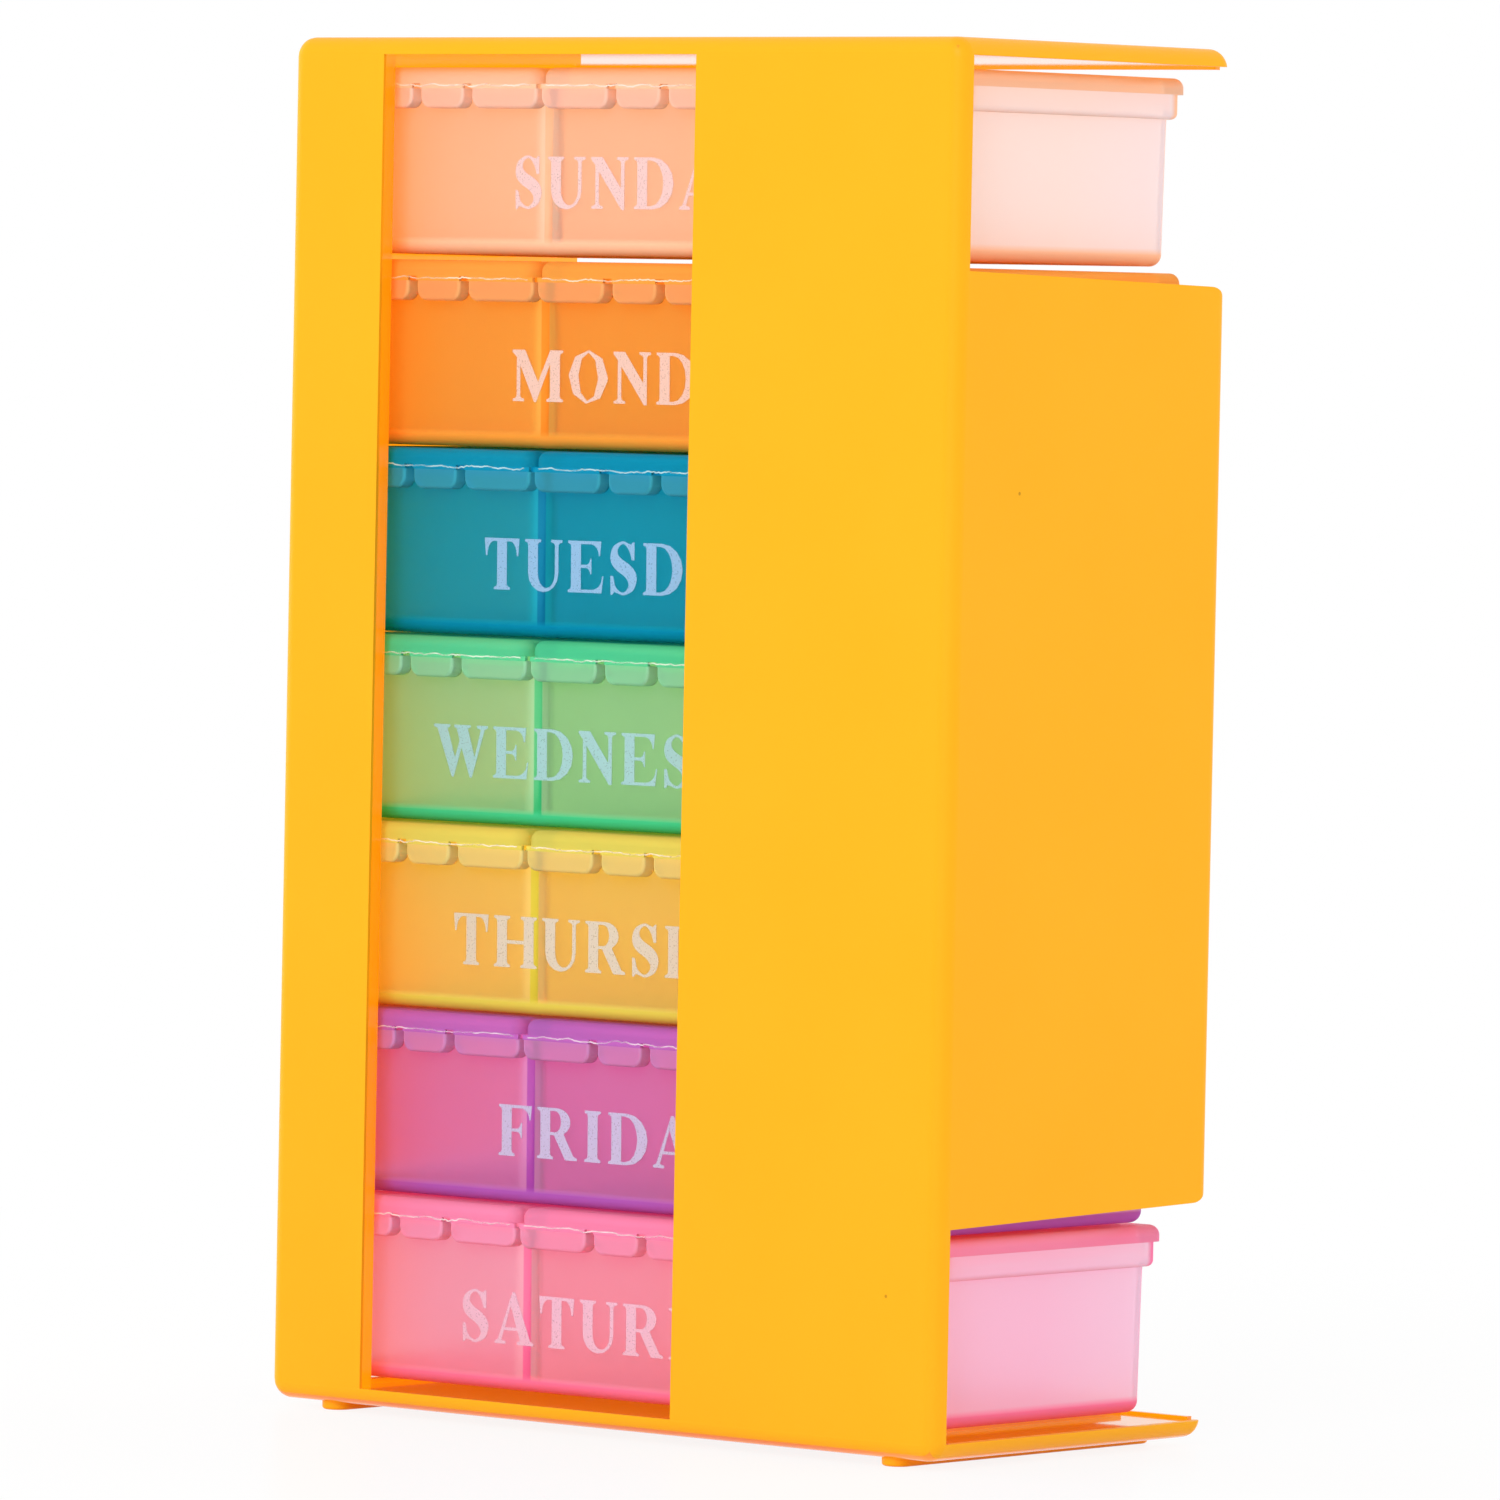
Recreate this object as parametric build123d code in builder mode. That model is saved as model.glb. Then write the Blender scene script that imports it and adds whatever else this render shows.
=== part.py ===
from build123d import *
import math
import os

os.makedirs("parts", exist_ok=True)

# A weekly pill organizer: a tower case, open at the back, that holds seven stacked day boxes.
# Each box is a tray with three compartments, closed by three lids on living hinges.
# Lengths are in millimetres. +Z is up, the window faces -Y, and the origin is under the
# middle of the case, on the surface that its feet stand on.

# Days from the top of the tower down, and the compartments of a box from left to right
DAYS = ["sunday", "monday", "tuesday", "wednesday", "thursday", "friday", "saturday"]
PLACES = {"left": -1, "middle": 0, "right": 1}

# Day box: the pitch of its compartments, its depth and the heights of its tray and lids
COMPARTMENT_PITCH = 32.7
END_MARGIN = 1.75
COLLAR_DEPTH = 45.9
TRAY_HEIGHT = 21.5
LID_HEIGHT = 2.05

# Tray: a drafted tub with a stepped collar, hinge lugs on its window side and two partitions
COLLAR_HEIGHT = 3.1
COLLAR_STEP = 0.9
COLLAR_RADIUS = 2.2
COLLAR_EDGE_RADIUS = 0.8
COLLAR_SETBACK = 0.6
FRONT_STEP = 2.15
TRAY_WALL = 1.1
TRAY_FLOOR = 1.4
TRAY_DRAFT = 1.0
TUB_RADIUS = 2.4
TUB_EDGE_RADIUS = 1.5
PARTITION = 1.5
COMPARTMENT_RADIUS = 1.4
LEDGE_DROP = 2.0

# Hinge lugs, a narrow one between two wide ones for each lid, and the webs that join them to it
NARROW_LUG = 7.2
LUG_GAP = 1.45
LUG_SPACE = 0.8
LUG_RADIUS = 1.5
LUG_EDGE_RADIUS = 0.4
WEB_HEIGHT = 0.6
WEB_THICKNESS = 0.45

# Lid: a shallow cap with a finger lip at the back and a plug that enters its compartment
LID_LIP = 0.9
LID_GAP = 0.4
LID_RADIUS = 1.8
LID_EDGE_RADIUS = 1.3
LID_SKIN = 1.0
PLUG_DEPTH = 1.3
PLUG_WALL = 0.9
PLUG_GAP = 0.2

# Walls of the case, and the room that they leave round the stack of boxes
CASE_WALL = 2.2
CORNER_RADIUS = 2.5
EDGE_RADIUS = 2.0
SIDE_CLEARANCE = 2.2
FRONT_CLEARANCE = 1.3
BACK_CLEARANCE = 3.3
HEADROOM = 1.55
STACK_GAP = 0.3
TOP_BOX_RISE = 0.5

# Window in the front, from one plate to the other, between two stiles
LEFT_STILE = 15.8
RIGHT_STILE = 42.6

# Finger openings in the side walls, past the end of the lowest and the highest box
OPENING_MARGIN = 1.55
OPENING_DRAFT = 1.3
PANEL_RADIUS = 3.4

# Foot rails under the case, runners on its floor and lips at its open back
FOOT_HEIGHT = 1.1
FOOT_WIDTH = 3.9
FOOT_SIDE_INSET = 8.8
FOOT_INSET = 1.7
FOOT_EDGE_RADIUS = 0.4
RUNNER_HEIGHT = 0.6
RUNNER_WIDTH = 1.8
RUNNER_SIDE_INSET = 6.8
RUNNER_BACK_INSET = 4.0
LIP_HEIGHT = 0.35
LIP_DEPTH = 0.9

# Size of a day box and the height that it takes in the stack
box_length = len(PLACES) * COMPARTMENT_PITCH + 2 * END_MARGIN
tub_length = box_length - 2 * COLLAR_STEP
box_pitch = TRAY_HEIGHT + LID_HEIGHT + STACK_GAP
wide_lug = (COMPARTMENT_PITCH - LUG_SPACE - NARROW_LUG) / 2 - LUG_GAP

# Size of the case, made to hold the stack
inner_width = box_length + 2 * SIDE_CLEARANCE
inner_height = RUNNER_HEIGHT + len(DAYS) * box_pitch + TOP_BOX_RISE + HEADROOM
case_width = inner_width + 2 * CASE_WALL
case_height = inner_height + 2 * CASE_WALL
case_depth = CASE_WALL + FRONT_CLEARANCE + COLLAR_DEPTH + LID_LIP + BACK_CLEARANCE

# Planes and levels of the case
half_width = case_width / 2
front = -case_depth / 2
back = case_depth / 2
inner_front = front + CASE_WALL
floor_top = FOOT_HEIGHT + CASE_WALL
ceiling = floor_top + inner_height
opening_height = RUNNER_HEIGHT + STACK_GAP + box_pitch + OPENING_MARGIN

# Planes and lowest level of the day boxes
box_front = inner_front + FRONT_CLEARANCE
tub_front = box_front + FRONT_STEP
collar_back = box_front + COLLAR_DEPTH
tub_back = collar_back - COLLAR_STEP
lowest_box = floor_top + RUNNER_HEIGHT + STACK_GAP


def middle(low, high):
    """Halfway between two planes."""
    return (low + high) / 2


# Case: one moulding of front stiles, side walls, plates, feet and runners
with BuildPart() as case:
    with BuildSketch(Plane.XY.offset(FOOT_HEIGHT)):
        Rectangle(case_width, case_depth)
    extrude(amount=case_height)
    fillet(case.edges().filter_by(Axis.Y), CORNER_RADIUS)
    fillet(case.faces().sort_by(Axis.Y)[0].edges(), EDGE_RADIUS)
    fillet(case.faces().sort_by(Axis.Y)[-1].edges(), EDGE_RADIUS)

    # Space for the boxes, open at the back
    with BuildSketch(Plane.XZ.offset(-back)):
        with Locations((0, middle(floor_top, ceiling))):
            Rectangle(inner_width, inner_height)
    extrude(amount=back - inner_front, mode=Mode.SUBTRACT)

    # Window between the stiles
    window_left = -half_width + LEFT_STILE
    window_right = half_width - RIGHT_STILE
    with BuildSketch(Plane.XZ.offset(-inner_front)):
        with Locations((middle(window_left, window_right), middle(floor_top, ceiling))):
            Rectangle(window_right - window_left, inner_height)
    extrude(amount=CASE_WALL, mode=Mode.SUBTRACT)

    # Finger openings, two in the right wall and one in the left, each from a plate to the panel
    opening_rise = (back - inner_front) * math.tan(math.radians(OPENING_DRAFT))
    arc_start = back - PANEL_RADIUS
    right_wall = half_width - CASE_WALL
    side_openings = [(right_wall, ceiling, -1), (right_wall, floor_top, 1), (-half_width, floor_top, 1)]
    for wall, plate, upward in side_openings:
        panel_front = plate + upward * opening_height
        panel_back = panel_front + upward * opening_rise
        panel_end = panel_back + upward * PANEL_RADIUS
        with BuildSketch(Plane.YZ.offset(wall)):
            with BuildLine():
                Polyline(
                    (back, panel_end),
                    (back, plate),
                    (inner_front, plate),
                    (inner_front, panel_front),
                    (arc_start, panel_back),
                )
                RadiusArc((arc_start, panel_back), (back, panel_end), -upward * PANEL_RADIUS)
            make_face()
        extrude(amount=CASE_WALL, mode=Mode.SUBTRACT)

    # Lips that keep the boxes from creeping out at the back
    with BuildSketch(Plane.XZ.offset(-back)):
        for level in (floor_top + LIP_HEIGHT / 2, ceiling - LIP_HEIGHT / 2):
            with Locations((0, level)):
                Rectangle(inner_width, LIP_HEIGHT)
    extrude(amount=LIP_DEPTH)

    # Runners that the lowest box slides on
    runner_back = back - RUNNER_BACK_INSET
    with BuildSketch(Plane.XY.offset(floor_top)):
        with Locations((0, middle(inner_front, runner_back))):
            with GridLocations(box_length - 2 * RUNNER_SIDE_INSET, 0, 2, 1):
                Rectangle(RUNNER_WIDTH, runner_back - inner_front)
    extrude(amount=RUNNER_HEIGHT)

    # Foot rails with round ends
    with BuildSketch(Plane.XY.offset(FOOT_HEIGHT)):
        with GridLocations(case_width - 2 * FOOT_SIDE_INSET, 0, 2, 1):
            SlotOverall(case_depth - 2 * FOOT_INSET, FOOT_WIDTH, rotation=90)
    extrude(amount=-FOOT_HEIGHT)
    fillet(case.edges().group_by(Axis.Z)[0], FOOT_EDGE_RADIUS)

case.part.label = "case"
export_step(case.part, "parts/case.step")


def compartment_span(place, end):
    """Left and right faces of a compartment whose outer wall stands at +end or -end."""
    centre = place * COMPARTMENT_PITCH
    half = (COMPARTMENT_PITCH - PARTITION) / 2
    low = -end if place < 0 else centre - half
    high = end if place > 0 else centre + half
    return low, high


def lug_places():
    """Centre and width of each hinge lug along the box."""
    offset = NARROW_LUG / 2 + LUG_GAP + wide_lug / 2
    lugs = []
    for place in PLACES.values():
        centre = place * COMPARTMENT_PITCH
        lugs += [(centre - offset, wide_lug), (centre, NARROW_LUG), (centre + offset, wide_lug)]
    return lugs


def make_tray(bottom):
    """Tray of one day box, standing at the level bottom."""
    rim = bottom + TRAY_HEIGHT
    collar_low = rim - COLLAR_HEIGHT
    ledge = rim - LEDGE_DROP
    with BuildPart() as tray:
        # Collar round the ends and the back
        collar_front = tub_front + COLLAR_SETBACK
        with BuildSketch(Plane.XY.offset(collar_low)):
            with Locations((0, middle(collar_front, collar_back))):
                RectangleRounded(box_length, collar_back - collar_front, COLLAR_RADIUS)
        extrude(amount=COLLAR_HEIGHT)
        fillet(tray.faces().sort_by(Axis.Z)[0].edges(), COLLAR_EDGE_RADIUS)

        # Tub, straight inside the collar and drafted below it
        with BuildSketch(Plane.XY.offset(collar_low)) as tub_outline:
            with Locations((0, middle(tub_front, tub_back))):
                RectangleRounded(tub_length, tub_back - tub_front, TUB_RADIUS)
        extrude(amount=COLLAR_HEIGHT)
        extrude(tub_outline.sketch, amount=bottom - collar_low, taper=TRAY_DRAFT)
        fillet(tray.faces().sort_by(Axis.Z)[0].edges(), TUB_EDGE_RADIUS)

        # Hinge lugs with rounded lower corners, rooted halfway through the front wall
        lug_top = rim - WEB_HEIGHT
        lug_root = TRAY_WALL / 2
        with BuildSketch(Plane.XZ.offset(-tub_front - lug_root)) as lugs:
            for centre, width in lug_places():
                with Locations((centre, middle(collar_low, lug_top))):
                    Rectangle(width, lug_top - collar_low)
            fillet(lugs.vertices().group_by(Axis.Y)[0], LUG_RADIUS)
        extrude(amount=FRONT_STEP + lug_root)
        lug_edges = tray.faces().group_by(Axis.Y)[0].edges()
        fillet(lug_edges - lug_edges.group_by(Axis.Z)[-1], LUG_EDGE_RADIUS)

        # Compartments: a straight seat for the lid's plug, and a drafted hollow below the ledge
        seat_front = tub_front + TRAY_WALL
        seat_back = collar_back - TRAY_WALL
        hollow_back = tub_back - TRAY_WALL
        for place in PLACES.values():
            low, high = compartment_span(place, box_length / 2 - TRAY_WALL)
            with BuildSketch(Plane.XY.offset(rim)):
                with Locations((middle(low, high), middle(seat_front, seat_back))):
                    RectangleRounded(high - low, seat_back - seat_front, COMPARTMENT_RADIUS)
            extrude(amount=-LEDGE_DROP, mode=Mode.SUBTRACT)
            low, high = compartment_span(place, tub_length / 2 - TRAY_WALL)
            with BuildSketch(Plane.XY.offset(ledge)):
                with Locations((middle(low, high), middle(seat_front, hollow_back))):
                    RectangleRounded(high - low, hollow_back - seat_front, COMPARTMENT_RADIUS)
            extrude(amount=bottom + TRAY_FLOOR - ledge, taper=TRAY_DRAFT, mode=Mode.SUBTRACT)
    return tray.part


def make_webs(bottom):
    """Thin webs of the living hinges, one on each lug of a box."""
    rim = bottom + TRAY_HEIGHT
    with BuildPart() as webs:
        with BuildSketch(Plane.XZ.offset(-box_front)):
            for centre, width in lug_places():
                with Locations((centre, rim - WEB_HEIGHT / 2)):
                    Rectangle(width, WEB_HEIGHT)
        extrude(amount=-WEB_THICKNESS)
    return webs.part


def make_lid(place, bottom):
    """Closed lid over one compartment of the box that stands at the level bottom."""
    rim = bottom + TRAY_HEIGHT
    lid_back = collar_back + LID_LIP
    low = -box_length / 2 if place < 0 else (place - 0.5) * COMPARTMENT_PITCH + LID_GAP / 2
    high = box_length / 2 if place > 0 else (place + 0.5) * COMPARTMENT_PITCH - LID_GAP / 2
    plug_low, plug_high = compartment_span(place, box_length / 2 - TRAY_WALL)
    plug_length = plug_high - plug_low - 2 * PLUG_GAP
    plug_front = tub_front + TRAY_WALL + PLUG_GAP
    plug_back = collar_back - TRAY_WALL - PLUG_GAP
    with BuildPart() as lid:
        # Cap with rounded upper edges
        with BuildSketch(Plane.XY.offset(rim)):
            with Locations((middle(low, high), middle(box_front, lid_back))):
                RectangleRounded(high - low, lid_back - box_front, LID_RADIUS)
        extrude(amount=LID_HEIGHT)
        fillet(lid.faces().sort_by(Axis.Z)[-1].edges(), LID_EDGE_RADIUS)

        # Plug below the cap, and the hollow that leaves it a wall
        with BuildSketch(Plane.XY.offset(rim)):
            with Locations((middle(plug_low, plug_high), middle(plug_front, plug_back))):
                RectangleRounded(plug_length, plug_back - plug_front, COMPARTMENT_RADIUS)
        extrude(amount=-PLUG_DEPTH)
        with BuildSketch(Plane.XY.offset(rim - PLUG_DEPTH)):
            with Locations((middle(plug_low, plug_high), middle(plug_front, plug_back))):
                RectangleRounded(
                    plug_length - 2 * PLUG_WALL,
                    plug_back - plug_front - 2 * PLUG_WALL,
                    COMPARTMENT_RADIUS - PLUG_WALL / 2,
                )
        extrude(amount=PLUG_DEPTH + LID_HEIGHT - LID_SKIN, mode=Mode.SUBTRACT)
    return lid.part


# Day boxes, the same in shape, from the top of the tower down
for index, day in enumerate(DAYS):
    bottom = lowest_box + (len(DAYS) - 1 - index) * box_pitch
    if index == 0:
        bottom += TOP_BOX_RISE
    pieces = {f"{day}_tray": make_tray(bottom), f"{day}_hinge_webs": make_webs(bottom)}
    for name, place in PLACES.items():
        pieces[f"{day}_lid_{name}"] = make_lid(place, bottom)
    for name, piece in pieces.items():
        piece.label = name
        export_step(piece, f"parts/{name}.step")
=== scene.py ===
"""A weekly pill organizer: a moulded tower case with seven translucent day boxes in it."""

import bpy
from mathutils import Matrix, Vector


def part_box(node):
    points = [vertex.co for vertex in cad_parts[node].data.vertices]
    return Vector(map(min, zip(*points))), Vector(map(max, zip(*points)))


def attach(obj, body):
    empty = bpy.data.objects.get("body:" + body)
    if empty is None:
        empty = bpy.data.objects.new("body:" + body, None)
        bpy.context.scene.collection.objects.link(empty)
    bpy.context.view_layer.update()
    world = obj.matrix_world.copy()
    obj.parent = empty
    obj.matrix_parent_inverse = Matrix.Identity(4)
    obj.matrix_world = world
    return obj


bl_info = {
    "name": "Weekly Pill Organizer",
    "version": (1, 0, 0),
    "blender": (4, 5, 0),
    "location": "3D Viewport > Sidebar > Pill Organizer",
    "description": "Dresses the tower case and its seven translucent day boxes",
    "category": "Object",
}

import math

import bmesh
import bpy
from mathutils import Matrix, Vector, noise

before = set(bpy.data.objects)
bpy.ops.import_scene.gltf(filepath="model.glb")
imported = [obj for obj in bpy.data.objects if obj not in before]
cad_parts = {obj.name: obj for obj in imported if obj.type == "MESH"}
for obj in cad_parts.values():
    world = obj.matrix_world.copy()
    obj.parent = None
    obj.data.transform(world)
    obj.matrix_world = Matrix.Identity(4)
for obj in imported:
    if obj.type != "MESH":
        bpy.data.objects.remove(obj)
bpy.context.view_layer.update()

MM = 0.001

# Days from the top of the tower down, and the lids of a box from left to right
DAYS = ("sunday", "monday", "tuesday", "wednesday", "thursday", "friday", "saturday")
PLACES = ("left", "middle", "right")

# Sizes that the looks and the pieces made here take from the case, the trays and the webs
CASE_WALL = 2.2 * MM
LUG_STANDS_OUT = 2.15 * MM
COMPARTMENT_PITCH = 32.7 * MM
TRAY_FLOOR = 1.4 * MM
COLLAR_HEIGHT = 3.1 * MM
TRAY_DRAFT = math.radians(1.0)
WEB_HEIGHT = 0.6 * MM
WEB_THICKNESS = 0.45 * MM

# Each day's plastic: the tint of a thin wall, the dye that deepens with thickness, the glow of a
# thick edge, a pale tint that paints the light shining through a box's ends, and the ink of its name
PLASTICS = {
    "sunday": ("#FFF8F0", "#FFECD4", "#FFD4B4", "#FFEEEC", "#F5D1CF"),
    "monday": ("#FFECC0", "#FFDC00", "#FFB04C", "#FFD8A0", "#F5CEBE"),
    "tuesday": ("#A8F0FA", "#00D8E8", "#089CC0", "#60D0E0", "#98C3E8"),
    "wednesday": ("#FCFAEC", "#C0F8D8", "#54D8A0", "#D8F4D8", "#A8D4D5"),
    "thursday": ("#FFF6C8", "#FFF470", "#E8E068", "#FFF0B8", "#E2D5C1"),
    "friday": ("#FFE4F4", "#F8B4E8", "#C070CC", "#F0C0E8", "#CEC3E5"),
    "saturday": ("#FFECF4", "#FFD4E4", "#FF94C0", "#FFCBEA", "#F5C5DB"),
}

# Other colours: a speck in the case and the light through its walls, painted light that makes the far
# side of a box's end cooler and paler, and plain white
SPECK = "#7A4A10"
CASE_LIGHT = "#FFD880"
PAINTED_BACKLIGHT = "#F6ECFF"
WHITE = "#FFFFFF"

# How much of the painted cool light the far side of an end takes, and the exponent that deepens a partition
PAINTED_BACKLIGHT_SHARE = 0.4
PARTITION_DEPTH = 1.5

# Refraction: real values, but lower for the boxes' polypropylene, so that less white lies over it
ABS_IOR = 1.52
PP_IOR = 1.3
WHITENED_PP_IOR = 1.49
INK_IOR = 1.5

# Gloss: 0.5 is a plastic's real level, which ink, creases and the grained case don't reach.
# The tint halves the gloss of the boxes
CASE_SPECULAR = 0.12
DULL_SPECULAR = 0.2
BOX_SPECULAR_TINT = (0.5, 0.5, 0.5, 1.0)

# Roughness, from its lowest to its highest where it varies
CASE_SATIN = (0.3, 0.46)
CASE_POLISH = 0.07
BOX_BLUR = (0.34, 0.4)
BOX_INNER_BLUR = 0.04
INK_ROUGHNESS = 0.6
CREASE_ROUGHNESS = 0.45

# Most of a noise pattern's values lie between these
NOISE_LOW = 0.3
NOISE_HIGH = 0.7

# Radius of a speck, solid and faded, as a share of the speck spacing, and how dark it is
SPECK_CORE = 0.012
SPECK_EDGE = 0.02
SPECK_DARKNESS = 0.5

# How strongly the grain of the case bends the light
GRAIN_STRENGTH = 0.35

# Density of a lid's dye beside that of a tray's
LID_DYE = 0.5

# The ink's pinholes begin at the first noise value and are full at the second, where they let
# this share of the wall show
PINHOLE_NOISE = (0.6, 0.72)
PINHOLE_OPEN = 0.5

# The crease is nearly whole below the first noise value and mostly bare above the second
STRAIN_NOISE = (0.4, 0.65)
STRAIN_BARE = (0.1, 0.75)

# Where each word begins, left of the middle of its box, in millimetres
WORD_STARTS = {
    "sunday": 22.1,
    "monday": 21.8,
    "tuesday": 25.9,
    "wednesday": 33.9,
    "thursday": 29.9,
    "friday": 21.7,
    "saturday": 27.4,
}

# Points of a letter's mesh that are nearer than this are one
SAME_POINT = 0.001 * MM

# The whitened crease: how far it stays off a lid's ends, how far it stands out before the webs, the
# length of its straight bits, and the lengths of the broad and the fine strays
CREASE_INSET = 1 * MM
CREASE_STANDS_OUT = 0.03 * MM
CREASE_STEP = 0.22 * MM
CREASE_WAVE = 2.2 * MM
CREASE_RIPPLE = 0.45 * MM

# Where the strays of the next box are taken in the noise, so that no two creases are alike
WAVE_SHIFT = 7.3
RIPPLE_SHIFT = 3.1
RIPPLE_LEVEL = 5.0

# The floor: how far it goes, its finish, how far from the middle its soft shadow is full and gone,
# and how white it stays under the shadow
FLOOR_RADIUS = 6.0
FLOOR_ROUGHNESS = 0.3
SHADOW_FULL = 0.08
SHADOW_GONE = 0.35
FLOOR_WHITE = 0.88

# Lamps: where each hangs and the length of its side, in metres
LAMPS = {
    "key": ((0.4, -1.15, 0.75), 0.7),
    "rim": ((0.75, 1.2, 0.35), 0.8),
    "left": ((-1.2, -0.15, 0.3), 0.8),
}
LAMP_AIM = (0.0, 0.0, 0.09)

# The point in the case that the camera's place is counted from, its sensor in millimetres, and how
# far it sees in metres
CAMERA_AIM = (0.0, -1.385 * MM, 88.1 * MM)
SENSOR_WIDTH = 36.0
CAMERA_REACH = 50.0


def linear(hex_colour):
    """Linear red, green, blue and alpha of an sRGB hex colour."""
    levels = [int(hex_colour[i : i + 2], 16) / 255 for i in (1, 3, 5)]
    return [v / 12.92 if v <= 0.04045 else ((v + 0.055) / 1.055) ** 2.4 for v in levels] + [1.0]


def blend(first, second, share):
    """A linear colour between two others."""
    return [a + (b - a) * share for a, b in zip(first, second)]


def add_node(material, kind, inputs=None, **settings):
    """Adds a node, sets its properties, and links or sets its inputs."""
    node = material.node_tree.nodes.new(kind)
    for name, value in settings.items():
        setattr(node, name, value)
    for socket, value in (inputs or {}).items():
        if isinstance(value, bpy.types.NodeSocket):
            material.node_tree.links.new(value, node.inputs[socket])
        else:
            node.inputs[socket].default_value = value
    return node


def new_material(name):
    """A material with an empty node tree."""
    material = bpy.data.materials.new(name)
    material.use_nodes = True
    material.node_tree.nodes.clear()
    return material


def inside_of_case(material, place):
    """Mask of the case's inner faces: 1 there, and 0 on its outer faces."""
    low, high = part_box("case")
    middle = (low + high) / 2
    centred = add_node(material, "ShaderNodeVectorMath", {0: place, 1: middle}, operation="SUBTRACT")
    sides = add_node(material, "ShaderNodeSeparateXYZ", {"Vector": centred.outputs[0]})
    inside = add_node(
        material,
        "ShaderNodeMath",
        {0: sides.outputs["Y"], 1: low.y - middle.y + CASE_WALL / 5},
        operation="GREATER_THAN",
    )
    for axis, reach in (("X", high.x - middle.x), ("Z", high.z - middle.z)):
        off = add_node(material, "ShaderNodeMath", {0: sides.outputs[axis]}, operation="ABSOLUTE")
        within = add_node(
            material, "ShaderNodeMath", {0: off.outputs[0], 1: reach - CASE_WALL / 2}, operation="LESS_THAN"
        )
        inside = add_node(
            material, "ShaderNodeMath", {0: inside.outputs[0], 1: within.outputs[0]}, operation="MULTIPLY"
        )
    return inside


def shadow_or_diffuse_ray(material):
    """1 for the rays that only gather light, and 0 for those that show a surface."""
    ray = add_node(material, "ShaderNodeLightPath")
    return add_node(
        material,
        "ShaderNodeMath",
        {0: ray.outputs["Is Shadow Ray"], 1: ray.outputs["Is Diffuse Ray"]},
        operation="MAXIMUM",
    )


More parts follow.
